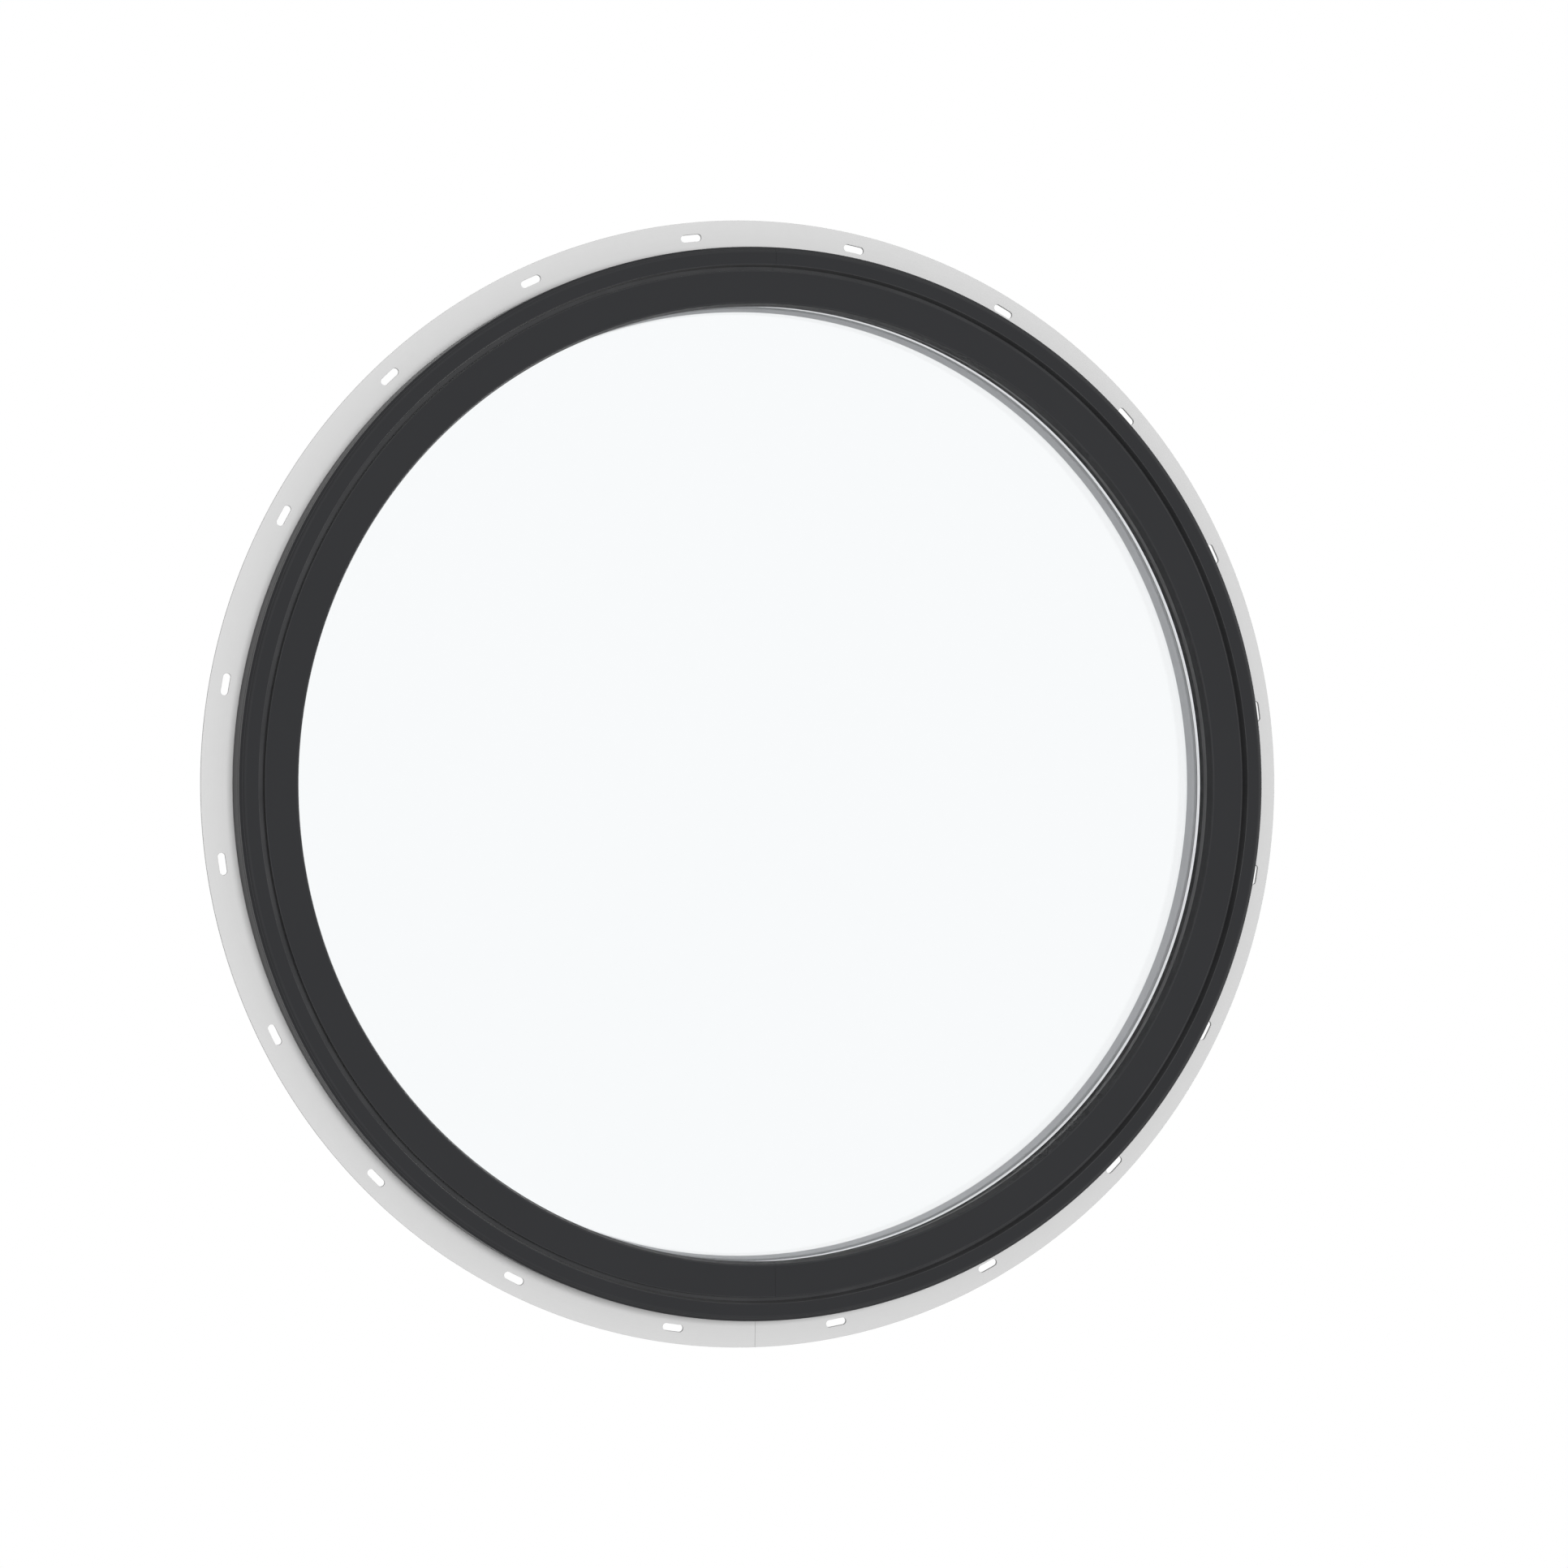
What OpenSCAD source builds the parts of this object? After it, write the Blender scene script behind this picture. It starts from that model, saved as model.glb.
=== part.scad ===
// Round fixed window: a thermally broken ring frame with insulating glass and a nailing fin.
// Millimetres. +Z is up and the weather side faces -Y. The origin is the centre of the
// nailing fin's back face, which lies against the wall's sheathing.

/* [Overall] */
// Diameter of the frame body, which goes into the hole in the wall
frame_d = 946; // [600:1:1400]
// How far the frame stands out in front of the fin
setback = 34; // [28:0.5:48]
// How far the frame reaches behind the fin's back face
back_depth = 23.3; // [19:0.1:60]

/* [Frame section] */
// Wall of the two rolled frame profiles
wall = 1.8; // [1.4:0.1:2.4]
// How much smaller the outer wall is at the shoulder than at the fin
draft = 0.5; // [0:0.1:1]
// Width of the moulded shoulder around the front face
shoulder_w = 6; // [5:0.25:9]
// Height of the moulded shoulder
shoulder_h = 4.25; // [4:0.25:6]
// Radius of the shoulder's rounded roll
roll_r = 2.8; // [2.2:0.1:3.4]
// Width of the flat front face
face_w = 10.5; // [6:0.25:20]
// Depth of the reveal between the front face and the glazing bead
reveal_d = 9.5; // [6:0.25:11.5]
// Width of the reveal's floor
reveal_w = 4.25; // [2:0.25:8]
// Lean of the reveal's wall
reveal_lean = 1; // [0:0.25:2]
// Depth of the thin groove around the outer wall
groove_d = 0.6; // [0.3:0.1:0.8]
// Setback of the groove behind the front face
groove_back = 10.5; // [6:0.5:16]

/* [Thermal break] */
// Thickness of the two plastic strips
strip_t = 2; // [1.6:0.1:2.6]
// Gap that the strips bridge between the two profiles
break_gap = 6; // [4:0.25:7]
// Depth of the claw grooves that grip the strips
claw_d = 3.4; // [2.5:0.1:3.8]

/* [Glazing bead] */
// Width of the bead's face
bead_w = 28.75; // [24:0.25:40]
// How far the bead's face lies behind the frame's front face
bead_drop = 1.7; // [0:0.1:4]
// Fall of the bead's face towards the glass
bead_fall = 1; // [0:0.1:3]
// How far the bead's nose reaches inside its face
nose_w = 1.75; // [0.5:0.25:3]
// Depth of the nose behind the frame's front face
nose_back = 12; // [8:0.25:14]
// Height of the gasket between the bead and the glass
gasket_h = 7; // [5:0.25:9]

/* [Insulating glass] */
// Thickness of each pane
pane_t = 3; // [2.4:0.1:4]
// Width of the space between the panes
airspace = 6.2; // [5:0.1:8]
// Outer face of the glass, in front of the fin's front face
glass_out = 2; // [1:0.25:4]
// Width of glass behind the gasket
glass_bite = 12; // [11:0.25:18]
// Clearance between the edge of the glass and the frame
edge_gap = 6; // [4:0.25:8]
// Height of the spacer bar
spacer_h = 6.5; // [5.5:0.25:8]
// Sheet thickness of the spacer bar
spacer_t = 0.5; // [0.4:0.05:0.7]
// Length of the key that joins the spacer bar's ends
spacer_key_l = 40; // [25:1:80]
// Thickness of the tape between the glass and the inner profile
tape_t = 1.6; // [0.8:0.1:2]

/* [Nailing fin] */
// Width of fin that shows around the frame
fin_w = 27; // [24:0.5:40]
// Thickness of the fin
fin_t = 3; // [2.6:0.1:4]
// Distance from the frame to the middle of the slots
slot_in = 13.25; // [10:0.25:18]
// Length of a slot
slot_l = 19; // [10:0.5:30]
// Width of a slot
slot_w = 6.4; // [4:0.1:8]
// Distance along the fin from slot to slot
slot_pitch = 152.4; // [100:0.1:300]

/* [Blocks and drainage] */
// Length of each of the two setting blocks
setting_l = 80; // [50:1:110]
// Angle of the setting blocks each side of the lowest point
setting_a = 25; // [20:1:35]
// Length of each locating block
locating_l = 50; // [30:1:80]
// Length of a drain slot
drain_l = 22; // [12:1:30]
// Width of a drain slot
drain_w = 5; // [4:0.5:7]

/* [Frame joint] */
// Hairline gap where the ends of a rolled ring meet
joint_gap = 0.2; // [0.1:0.05:0.4]
// Length of the keys inside the frame joint
key_l = 110; // [80:1:160]
// Thickness of the keys
key_t = 6; // [4:0.5:8]
// Diameter of the key screws
screw_d = 4; // [3:0.5:5]

/* [Hidden] */

fit = 0.2;              // clearance between pieces that slide or snap together
ring_fn = 240;          // segments of a full ring
small_fn = 32;          // segments of a screw or slot end
top = 90;               // angles run from +X, anticlockwise seen from outside
bottom = 270;

// Every section is a list of [r, h]: r is the radius, and h runs forward from the fin's back face.
front = fin_t + setback;
back = -back_depth;
frame_r = frame_d / 2;
wall_r = frame_r - wall;

// Front of the frame, from the outer wall inward
face_out = frame_r - shoulder_w;
face_in = face_out - face_w;
reveal_r = face_in - reveal_lean;
reveal_floor = front - reveal_d;
bevel_w = 2.3;
bevel_h = 2.25;
shoulder_low = front - shoulder_h;

// Glazing bead
bead_out = reveal_r - reveal_w;
bead_in = bead_out - bead_w;
bead_front = front - bead_drop;
bead_edge_r = 0.8;
bead_inner_edge_r = 1.6;
nose_h = front - nose_back;

// Glass and its pocket
sight_r = bead_in + 1.5;
glass_r = sight_r + glass_bite;
pocket_r = glass_r + edge_gap;
lip_r = pocket_r - 2;
glass_front = fin_t + glass_out;
gap_front = glass_front - pane_t;
gap_back = gap_front - airspace;
glass_back = gap_back - pane_t;
stop_h = glass_back - tape_t;
stop_front_r = sight_r - 1;
stop_back_r = sight_r - 2.4;

// Thermal break: claw grooves in the ends of both profiles
claw_w = strip_t + 2 * fit;
claw_boss_w = 2 * wall + claw_w;
interior_front = stop_h - 3.2;
exterior_back = interior_front + break_gap;
outer_claw_r = wall_r - claw_w;
inner_claw_r = pocket_r + wall;

// Kerf in the outer wall that holds the fin's tongue: its mouth is fit lower than the fin at each
// side, behind a lead-in chamfer, so the tongue's barb catches behind it
tongue_r = frame_r - 5;
barb_r = tongue_r + 1.4;
kerf_r = tongue_r - fit;
kerf_lip_r = barb_r + fit;
kerf_low = -2 * fit;
kerf_high = fin_t + 2 * fit;
kerf_boss_r = kerf_r - wall;

// Insulating glass make-up
butyl_t = 0.3;
spacer_back = gap_back + butyl_t;
spacer_front = gap_front - butyl_t;
spacer_out = sight_r + spacer_h;
spacer_chamfer = 1.2;
breather_w = 0.4;
fill_r = sight_r + spacer_t + fit / 2;
fill_out = spacer_out - spacer_t - spacer_chamfer;
fill_edge = spacer_t + fit / 2;
spacer_hollow = box_section(fill_r, spacer_back + fill_edge, fill_out, spacer_front - fill_edge);
spacer_key_a = arc_angle(spacer_key_l, sight_r);

// Screws of the frame's joint key
key_low = fin_t;
key_high = reveal_floor - wall - 3;
key_mid = (key_low + key_high) / 2;
key_a = arc_angle(key_l, pocket_r);
head_d = 1.75 * screw_d;
head_h = 0.55 * screw_d;
screw_angles = [for (s = [-0.36, -0.14, 0.14, 0.36]) top + s * key_a];

// Slots and openings
slot_r = frame_r + slot_in;
slot_count = round(2 * PI * slot_r / slot_pitch);
fin_joint_a = bottom - 1;
drain_angles = [-12, 12];
locating_angles = [15, 60, 120, 165];

function arc_angle(length, radius) = length / radius * 180 / PI;

// Points on an arc about centre c
function arc(c, r, a0, a1, steps = 6) =
    [for (i = [0:steps]) let (a = a0 + (a1 - a0) * i / steps) [c[0] + r * cos(a), c[1] + r * sin(a)]];

// Radius of the leaning outer wall at height h
function outer_wall_r(h) = frame_r - draft * max(0, h - fin_t) / (shoulder_low - fin_t);

// Height of the bead's sloping face at radius r
function bead_face(r) = bead_front - bead_fall * (bead_out - r) / bead_w;

// Rectangle from one corner to the other
function box_section(r0, h0, r1, h1) = [[r0, h0], [r1, h0], [r1, h1], [r0, h1]];

// Groove points of a claw, for a profile whose end lies at h and reaches into it by depth
function claw(r0, h, depth) = [[r0, h], [r0, h + depth], [r0 + claw_w, h + depth], [r0 + claw_w, h]];

// A closed ring of the given section
module ring(section) {
    rotate([90, 0, 0]) rotate_extrude($fn = ring_fn) polygon(section);
}

// A length of ring, centred on angle a and spanning the angle given
module ring_part(section, a, span) {
    rotate([90, 0, 0]) rotate([0, 0, a - span / 2])
        rotate_extrude(angle = span, $fn = ring_fn) polygon(section);
}

// A rolled ring whose ends meet at angle a
module rolled_ring(section, a) {
    ring_part(section, a + 180, 360 - arc_angle(joint_gap, frame_r));
}

// A round rod along a radius, from r0 to r1, at angle a and height h
module radial_rod(d, r0, r1, a, h) {
    rotate([90, 0, 0]) rotate([0, 0, a]) translate([r0, 0, h]) rotate([0, 90, 0])
        cylinder(d = d, h = r1 - r0, $fn = small_fn);
}

// A round-ended slot cut along a radius, its length along the ring
module radial_slot(length, width, r0, r1, a, h) {
    rotate([90, 0, 0]) rotate([0, 0, a]) translate([r0, 0, h]) rotate([0, 90, 0]) {
        for (s = [-1, 1]) translate([0, s * (length - width) / 2, 0])
            cylinder(d = width, h = r1 - r0, $fn = small_fn);
        translate([-width / 2, -(length - width) / 2, 0])
            cube([width, length - width, r1 - r0]);
    }
}

// A round-ended slot through the fin, its length along the ring
module fin_slot(a) {
    rotate([90, 0, 0]) rotate([0, 0, a]) translate([slot_r, 0, -1]) {
        for (s = [-1, 1]) translate([0, s * (slot_l - slot_w) / 2, 0])
            cylinder(d = slot_w, h = fin_t + 2, $fn = small_fn);
        translate([-slot_w / 2, -(slot_l - slot_w) / 2, 0])
            cube([slot_w, slot_l - slot_w, fin_t + 2]);
    }
}

// Weather-side profile: outer wall, shoulder, face, reveal and the outer wall of the glass pocket
module exterior_frame() {
    lead_in = 3 * fit;
    kerf = [
        [frame_r, 0], [frame_r - lead_in, fit], [kerf_lip_r, fit], [kerf_lip_r, kerf_low],
        [kerf_r, kerf_low], [kerf_r, kerf_high], [kerf_lip_r, kerf_high],
        [kerf_lip_r, fin_t - fit], [frame_r - lead_in, fin_t - fit], [frame_r, fin_t]
    ];
    groove_h = front - groove_back;
    groove = [
        [outer_wall_r(groove_h - groove_d), groove_h - groove_d],
        [outer_wall_r(groove_h) - groove_d, groove_h],
        [outer_wall_r(groove_h + groove_d), groove_h + groove_d]
    ];
    roll_low = asin((shoulder_low + bevel_h - front + roll_r) / roll_r);
    shoulder = concat(
        [[frame_r - draft, shoulder_low], [frame_r - draft - bevel_w, shoulder_low + bevel_h]],
        arc([face_out, front - roll_r], roll_r, roll_low, 90)
    );
    pocket_wall = [
        [face_in, front], [reveal_r, reveal_floor], [lip_r, reveal_floor],
        [lip_r, reveal_floor - wall], [pocket_r, reveal_floor - wall], [pocket_r, exterior_back]
    ];
    inside = [
        [pocket_r + claw_boss_w, exterior_back],
        [pocket_r + claw_boss_w, exterior_back + claw_d + wall],
        [pocket_r + wall, exterior_back + claw_d + wall], [pocket_r + wall, reveal_floor - wall],
        [reveal_r + wall, reveal_floor - wall], [face_in + wall, front - wall],
        [face_out - wall / 2, front - wall], [wall_r - draft, shoulder_low - wall / 2],
        [wall_r, kerf_high + wall], [kerf_boss_r, kerf_high + wall], [kerf_boss_r, exterior_back]
    ];
    color("dimgray") difference() {
        rolled_ring(concat(
            [[frame_r, exterior_back]], kerf, groove, shoulder, pocket_wall,
            claw(inner_claw_r, exterior_back, claw_d), inside,
            claw(outer_claw_r, exterior_back, claw_d)
        ), top);
        for (a = drain_angles) {
            radial_slot(drain_l, drain_w, wall_r - 5, frame_r + 1, bottom + a / 2, glass_front + 8);
            radial_slot(drain_l, drain_w, lip_r, inner_claw_r + 1, bottom + a, glass_front + 8);
        }
        for (a = screw_angles)
            radial_rod(screw_d + 2 * fit, lip_r, inner_claw_r + 1, a, key_mid);
    }
}

// Room-side profile: face, outer wall and the fixed stop that the glass beds against
module interior_frame() {
    claw_floor = interior_front - claw_d - wall;
    color("whitesmoke") rolled_ring(concat(
        [[frame_r, back], [frame_r, interior_front]],
        [[wall_r, interior_front], [wall_r, interior_front - claw_d]],
        [[outer_claw_r, interior_front - claw_d], [outer_claw_r, interior_front]],
        [[outer_claw_r - wall, interior_front], [outer_claw_r - wall, claw_floor]],
        [[wall_r, claw_floor], [wall_r, back + wall], [stop_back_r + wall, back + wall]],
        [[stop_front_r + wall, stop_h - wall], [pocket_r, stop_h - wall], [pocket_r, claw_floor]],
        [[pocket_r + claw_boss_w, claw_floor], [pocket_r + claw_boss_w, interior_front]],
        [[inner_claw_r + claw_w, interior_front], [inner_claw_r + claw_w, interior_front - claw_d]],
        [[inner_claw_r, interior_front - claw_d], [inner_claw_r, stop_h]],
        [[stop_front_r, stop_h], [stop_back_r, back]]
    ), top);
}

// Plastic strip held in the claw grooves that start at radius r
module thermal_strip(r) {
    color([0.12, 0.12, 0.13]) rolled_ring(box_section(
        r + fit, interior_front - claw_d + fit, r + fit + strip_t, exterior_back + claw_d - fit
    ), top);
}

module thermal_strip_outer() { thermal_strip(outer_claw_r); }

module thermal_strip_inner() { thermal_strip(inner_claw_r); }

// Curved bar behind the pocket wall that joins the ends of the weather-side ring
module exterior_joint_key() {
    color("silver") difference() {
        ring_part(box_section(inner_claw_r + fit, key_low, inner_claw_r + fit + key_t, key_high),
            top, key_a);
        for (a = screw_angles)
            radial_rod(screw_d + fit, inner_claw_r, inner_claw_r + key_t + 1, a, key_mid);
    }
}

// Curved bar bonded in the room-side ring, against its inner wall and face
module interior_joint_key() {
    key_back = back + wall + fit;
    color("silver") ring_part(box_section(
        stop_front_r + wall + fit, key_back, pocket_r - fit, key_back + key_t
    ), top, key_a);
}

// Pan-head screws through the pocket wall into the key
module joint_key_screws() {
    color("gainsboro") for (a = screw_angles) {
        radial_rod(screw_d, pocket_r - head_h / 2, inner_claw_r + key_t, a, key_mid);
        radial_rod(head_d, pocket_r - fit - head_h, pocket_r - fit, a, key_mid);
    }
}

// Snap-in bead: sloped face, nose, gasket groove and the leg that hooks behind the pocket's lip
module glazing_bead() {
    low = glass_front + gasket_h;
    groove_in = sight_r + 1.3;
    groove_out = sight_r + 6.3;
    groove_top = low + 4.2;
    lips_top = low + 1.2;
    leg_out = lip_r - fit;
    leg_in = leg_out - wall;
    hook_h = reveal_floor - wall - fit;
    nose_r = bead_in - nose_w;
    waist_h = nose_h - 4.3;
    waist_r = nose_r + 1.05;
    color([0.2, 0.2, 0.21]) rolled_ring(concat(
        [[bead_out, reveal_floor]],
        arc([bead_out - bead_edge_r, bead_front - bead_edge_r], bead_edge_r, 0, 90),
        arc([bead_in + bead_inner_edge_r, bead_face(bead_in) - bead_inner_edge_r],
            bead_inner_edge_r, 90, 180),
        [[nose_r, nose_h], [waist_r, waist_h], [sight_r - 0.5, low]],
        [[groove_in + 1, low], [groove_in + 1, lips_top], [groove_in, lips_top]],
        [[groove_in, groove_top], [groove_out, groove_top], [groove_out, lips_top]],
        [[groove_out - 1, lips_top], [groove_out - 1, low], [groove_out + 1.5, low]],
        [[groove_out + 1.5, groove_top + 1.5], [waist_r + wall + 0.6, groove_top + 1.5]],
        [[waist_r + wall, waist_h], [nose_r + wall, nose_h]],
        [[bead_in + wall, bead_face(bead_in) - wall], [leg_in, bead_face(leg_in) - wall]],
        [[leg_in, hook_h - 4], [leg_in + 0.5, hook_h - 4], [pocket_r - 3 * fit, hook_h - 1]],
        [[pocket_r - 3 * fit, hook_h], [leg_out, hook_h], [leg_out, bead_face(leg_out) - wall]],
        [[bead_out - wall, bead_front - wall], [bead_out - wall, reveal_floor]]
    ), bottom);
}

// Rubber wedge between bead and glass, with a dart that pushes into the bead's groove
module bead_gasket() {
    low = glass_front;
    high = glass_front + gasket_h;
    neck_in = sight_r + 2.3 + fit;
    neck_out = sight_r + 5.3 - fit;
    barb = 1.2 + fit;
    color([0.1, 0.1, 0.1]) ring([
        [sight_r, low], [sight_r + 9, low], [sight_r + 9, low + 2], [neck_out + 1.2, high],
        [neck_out, high], [neck_out, high + barb], [neck_out + 0.8, high + barb],
        [neck_out - 0.6, high + 3.6], [neck_in + 0.6, high + 3.6], [neck_in - 0.8, high + barb],
        [neck_in, high + barb], [neck_in, high], [sight_r - 0.3, high]
    ]);
}

// Foam tape that the inner pane beds on
module glazing_tape() {
    color([0.75, 0.75, 0.76]) ring(box_section(sight_r + 0.5, stop_h, glass_r - 2, glass_back));
}

// Nailing fin: a slotted strip whose barbed tongue is pressed into the frame's kerf
module nail_fin() {
    fin_out = frame_r + fin_w;
    fin_in = frame_r + fit;
    tongue_low = 2 * fit;
    tongue_high = fin_t - 2 * fit;
    color([0.85, 0.85, 0.85]) difference() {
        rolled_ring([
            [fin_out, 0], [fin_out, fin_t], [fin_in, fin_t], [fin_in, tongue_high],
            [barb_r, tongue_high], [barb_r, fin_t], [tongue_r, tongue_high - 2 * fit],
            [tongue_r, tongue_low + 2 * fit], [barb_r, 0], [barb_r, tongue_low],
            [fin_in, tongue_low], [fin_in, 0]
        ], fin_joint_a);
        for (i = [0:slot_count - 1]) fin_slot(fin_joint_a + (i + 0.5) * 360 / slot_count);
    }
}

// Glass disc whose outer face lies at height h
module pane(h) {
    color([0.8, 0.88, 0.88, 0.4]) rotate([90, 0, 0]) translate([0, 0, h - pane_t])
        cylinder(r = glass_r, h = pane_t, $fn = ring_fn);
}

module outer_pane() { pane(glass_front); }

module inner_pane() { pane(gap_back); }

// Roll-formed hollow bar between the panes, open along the breather seam in its sight face
module spacer_bar() {
    mid = (spacer_back + spacer_front) / 2;
    inner_r = sight_r + spacer_t;
    color("lightgray") rolled_ring([
        [sight_r, spacer_back], [spacer_out - spacer_chamfer, spacer_back],
        [spacer_out, spacer_back + spacer_chamfer], [spacer_out, spacer_front - spacer_chamfer],
        [spacer_out - spacer_chamfer, spacer_front], [sight_r, spacer_front],
        [sight_r, mid + breather_w / 2], [inner_r, mid + breather_w / 2],
        [inner_r, spacer_front - spacer_t], [fill_out, spacer_front - spacer_t],
        [spacer_out - spacer_t, spacer_front - spacer_chamfer - spacer_t / 2],
        [spacer_out - spacer_t, spacer_back + spacer_chamfer + spacer_t / 2],
        [fill_out, spacer_back + spacer_t], [inner_r, spacer_back + spacer_t],
        [inner_r, mid - breather_w / 2], [sight_r, mid - breather_w / 2]
    ], top);
}

// Key inside the spacer bar's joint
module spacer_key() {
    color("gray") ring_part(spacer_hollow, top, spacer_key_a);
}

// Drying beads that fill the rest of the spacer bar
module desiccant() {
    key_room = spacer_key_a + arc_angle(2 * fit, sight_r);
    color("tan") ring_part(spacer_hollow, bottom, 360 - key_room);
}

// Thin butyl line between the spacer bar and a pane, from height h forward
module butyl_seal(h) {
    color([0.15, 0.15, 0.15])
        ring(box_section(sight_r + 1, h, spacer_out - spacer_chamfer, h + butyl_t));
}

module outer_butyl_seal() { butyl_seal(spacer_front); }

module inner_butyl_seal() { butyl_seal(gap_back); }

// Sealant that fills the edge of the unit behind the spacer bar
module edge_seal() {
    color([0.25, 0.25, 0.26])
        ring(box_section(spacer_out + fit, gap_back, glass_r - fit, gap_front));
}

// Block between the edge of the glass and the pocket wall, at angle a
module glass_block(a, length) {
    ring_part(box_section(glass_r + fit, stop_h + fit, pocket_r - fit, glass_front + fit),
        a, arc_angle(length, glass_r));
}

module setting_block_left() { color([0.3, 0.3, 0.32]) glass_block(bottom - setting_a, setting_l); }

module setting_block_right() { color([0.3, 0.3, 0.32]) glass_block(bottom + setting_a, setting_l); }

module locating_blocks() {
    color([0.3, 0.3, 0.32]) for (a = locating_angles) glass_block(a, locating_l);
}

exterior_frame();
interior_frame();
thermal_strip_outer();
thermal_strip_inner();
exterior_joint_key();
interior_joint_key();
joint_key_screws();
glazing_bead();
bead_gasket();
glazing_tape();
nail_fin();
outer_pane();
inner_pane();
spacer_bar();
spacer_key();
desiccant();
outer_butyl_seal();
inner_butyl_seal();
edge_seal();
setting_block_left();
setting_block_right();
locating_blocks();
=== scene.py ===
# %% [markdown]
# # A round fixed window with its nailing fin
#
# The window is a stack of rings round one axis: two rolled metal profiles, a snap-in bead, a rubber
# gasket, a spacer bar and a slotted fin, with two glass discs in the middle.
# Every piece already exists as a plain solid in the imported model. Here the solids become the
# frame that everything lines up with, and the rings that can be seen are made again as finer surfaces
# with rounded edges, punched slots and a finish of their own.

# %% Load the frame
import math

import bpy
import numpy as np
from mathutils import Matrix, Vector


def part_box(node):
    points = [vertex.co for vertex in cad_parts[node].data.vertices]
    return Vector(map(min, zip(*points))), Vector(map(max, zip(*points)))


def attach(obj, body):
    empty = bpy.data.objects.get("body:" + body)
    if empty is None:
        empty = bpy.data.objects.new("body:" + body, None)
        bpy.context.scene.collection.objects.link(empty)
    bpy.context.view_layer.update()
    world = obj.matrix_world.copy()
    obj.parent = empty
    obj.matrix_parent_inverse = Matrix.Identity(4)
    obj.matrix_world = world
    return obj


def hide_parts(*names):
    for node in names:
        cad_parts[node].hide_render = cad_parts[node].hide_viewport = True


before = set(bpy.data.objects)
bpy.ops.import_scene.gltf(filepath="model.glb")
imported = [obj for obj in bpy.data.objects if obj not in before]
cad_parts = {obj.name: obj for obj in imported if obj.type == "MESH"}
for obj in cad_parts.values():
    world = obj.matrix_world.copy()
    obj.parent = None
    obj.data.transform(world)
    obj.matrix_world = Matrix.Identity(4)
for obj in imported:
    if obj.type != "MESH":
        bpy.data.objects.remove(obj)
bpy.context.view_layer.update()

# %% [markdown]
# ## The section that makes a ring
#
# A rolled window profile is one outline carried round a circle. It could be made with a Screw
# modifier, but then the slots, the rounded edges and the shading would each need a modifier more.
# Here the outline is a short list of corners in millimetres: r is the distance from the axis and h is
# the height in front of the fin's back face. Every corner may carry a radius, because a real extrusion
# has no knife edges, and it is the small radius that catches the light.

# %% Corners, arcs and fillets
def arc(centre, radius, start, end, steps=6):
    """Corners along an arc: centre + radius * (cos t, sin t), with t from start to end in degrees."""
    t = np.radians(np.linspace(start, end, steps + 1))
    return [[centre[0] + radius * np.cos(a), centre[1] + radius * np.sin(a)] for a in t]


def rounded(corners, steps=4):
    """Closed outline with each corner [r, h, radius] rounded.

    A corner P turns through an angle T. The round starts radius * tan(T / 2) before P and ends as far
    after it, and runs between them on the rational curve
    ((1 - t)^2 A + 2 w t (1 - t) P + t^2 B) / ((1 - t)^2 + 2 w t (1 - t) + t^2) with w = cos(T / 2),
    which is an exact circular arc.
    """
    full = np.array([list(c) + [0.0] * (3 - len(c)) for c in corners])
    point, radius = full[:, :2], full[:, 2]
    before = np.roll(point, 1, 0) - point
    after = np.roll(point, -1, 0) - point
    len_before = np.linalg.norm(before, axis=1)
    len_after = np.linalg.norm(after, axis=1)
    before, after = before / len_before[:, None], after / len_after[:, None]
    turn = np.pi - np.arccos(np.clip((before * after).sum(1), -1, 1))
    reach = np.minimum(radius * np.tan(turn / 2), 0.45 * np.minimum(len_before, len_after))
    t = np.linspace(0, 1, steps + 1)[None, :, None]
    weight = np.cos(turn / 2)[:, None, None]
    a = (point + before * reach[:, None])[:, None]
    b = (point + after * reach[:, None])[:, None]
    low, mid, high = (1 - t) ** 2, 2 * weight * t * (1 - t), t ** 2
    curve = (low * a + mid * point[:, None] + high * b) / (low + mid + high)
    flat = curve.reshape(-1, 2)
    keep = np.linalg.norm(flat - np.roll(flat, 1, 0), axis=1) > 1e-5
    return flat[keep]


square = rounded([[0, 0, 1], [10, 0, 0], [10, 10, 0], [0, 10, 0]])
print("a square with one round corner has", len(square), "points")

# %% [markdown]
# ## Carrying the section round
#
# The ring is a grid: one index runs along the outline and the other round the circle. A grid cell
# is one four-sided face, so a hole is simply a block of cells left out, and the gap is filled by a
# patch that leads from the block's edge to the outline of the slot. The UV map is in metres, u
# round the ring and v across the section, so that a brushed or drawn grain can follow the metal.
#
# A rolled ring's two ends meet in a hairline joint, so such a ring stops short by half the
# joint's width at each end and gets a flat cap there.

# %% The ring grid
COLUMNS = 720
JOINT_GAP = 0.2
FRAME_R = 473.0


def on_ring(r, h, angle):
    """Point of the object's frame, in metres: x = r cos a, y = -h, z = r sin a."""
    return np.stack([r * np.cos(angle), -h + 0 * angle, r * np.sin(angle)], -1) / 1000


def outline_normals(outline):
    """For each side of the closed outline, the side's direction turned a quarter turn outwards."""
    side = np.roll(outline, -1, 0) - outline
    side /= np.linalg.norm(side, axis=1)[:, None]
    return np.stack([side[:, 1], -side[:, 0]], 1)


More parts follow.
